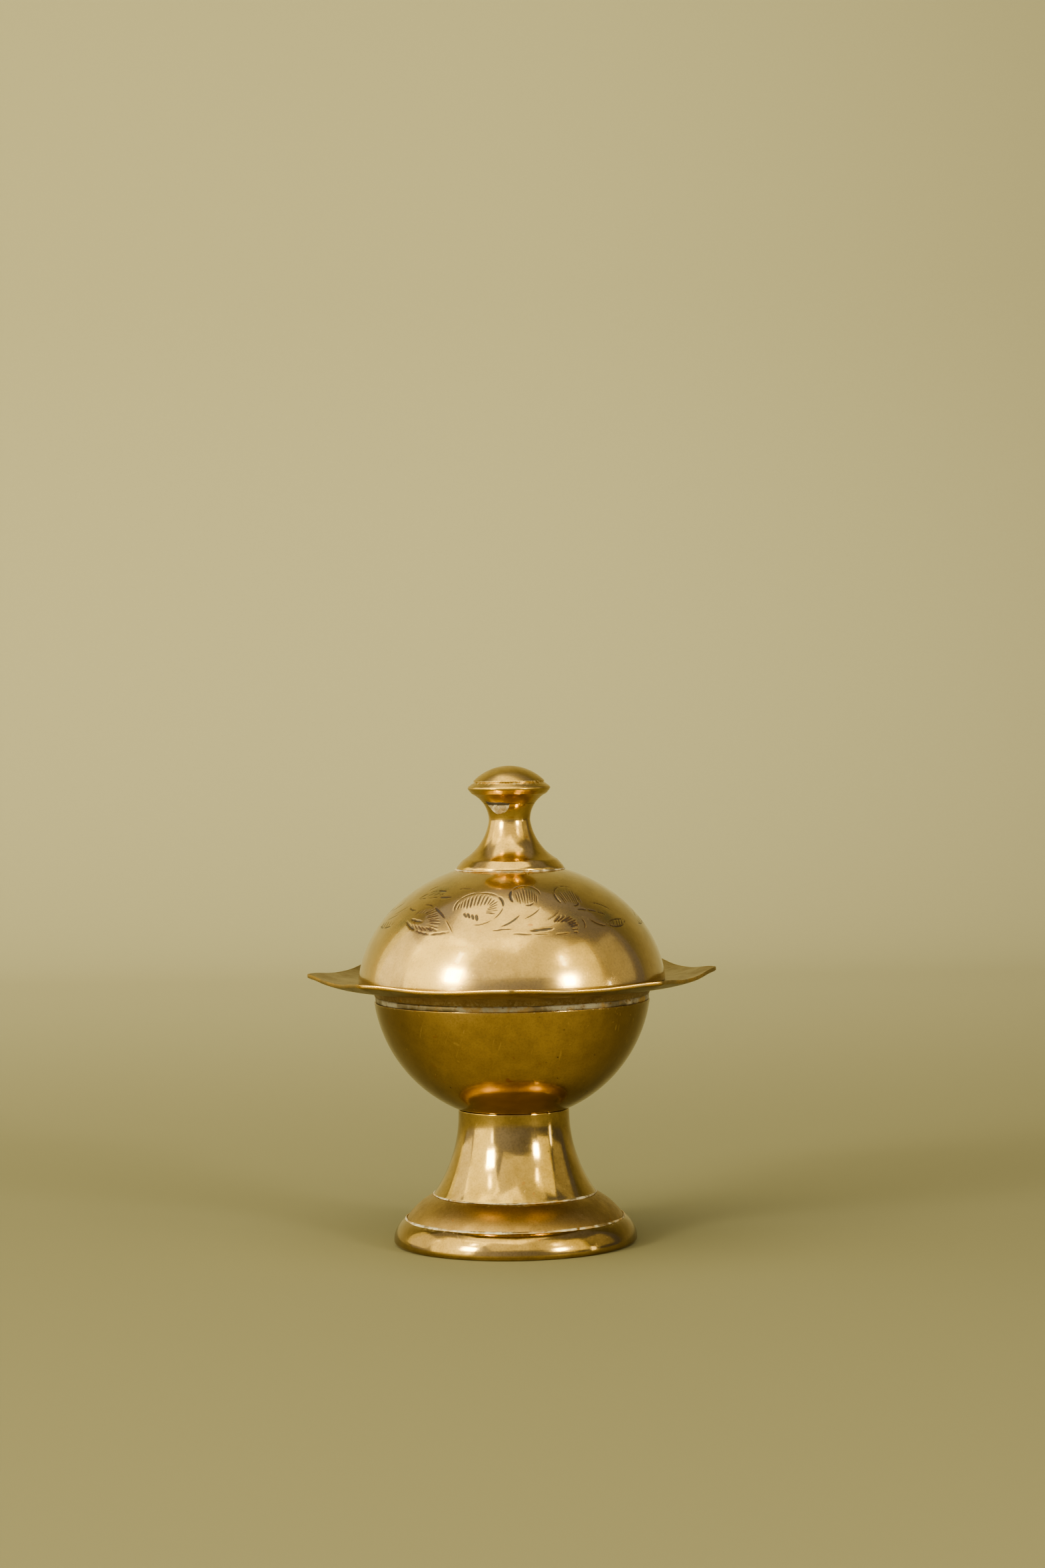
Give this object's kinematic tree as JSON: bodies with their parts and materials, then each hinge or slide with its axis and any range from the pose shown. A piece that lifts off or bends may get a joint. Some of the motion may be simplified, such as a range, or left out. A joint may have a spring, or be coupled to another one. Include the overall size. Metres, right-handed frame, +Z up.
{
  "type": "ciborium vessel",
  "caption": "Small footed brass bowl with a wavy petal brim and a loose domed lid, engraved with leaves and topped by a turned knob.",
  "frame": {"origin": "centre of the foot ring's flat underside, on the turning axis", "axes": "+Z up along the turning axis, -Y towards the engraved front, +X to the right of it"},
  "size_m": [0.0832, 0.0832, 0.0962],
  "materials": {
    "foot_ring_brass": "worn bright, lightly tarnished",
    "foot_moulding_brass": "satin, browned",
    "stem_brass": "polished, lightly tarnished",
    "bowl_brass": "satin, darkened with age",
    "collar_brass": "dull, darkened",
    "brim_brass": "satin sheet with a worn bright edge",
    "dome_brass": "soft polish with hand-cut leaves",
    "locating_ring_brass": "dull",
    "neck_brass": "polished",
    "knob_brass": "polished, darker under the rim",
    "solder": "dull pale solder with polish residue"
  },
  "bodies": {
    "stand": {"foot_ring": "foot_ring_brass", "foot_moulding": "foot_moulding_brass", "foot_solder_ring": "solder", "stem": "stem_brass", "stem_solder_ring": "solder", "bowl": "bowl_brass", "collar_solder_ring": "solder", "mouth_collar": "collar_brass", "petal_brim": "brim_brass"},
    "lid": {"lid_dome": "dome_brass", "lid_locating_ring": "locating_ring_brass", "finial_solder_ring": "solder", "finial_neck": "neck_brass", "finial_knob": "knob_brass"}
  },
  "joints": [
    {"name": "lid_lift", "type": "slide", "parent": "stand", "child": "lid", "axis": [0, 0, 1], "range_m": [0, 0.05]}
  ]
}
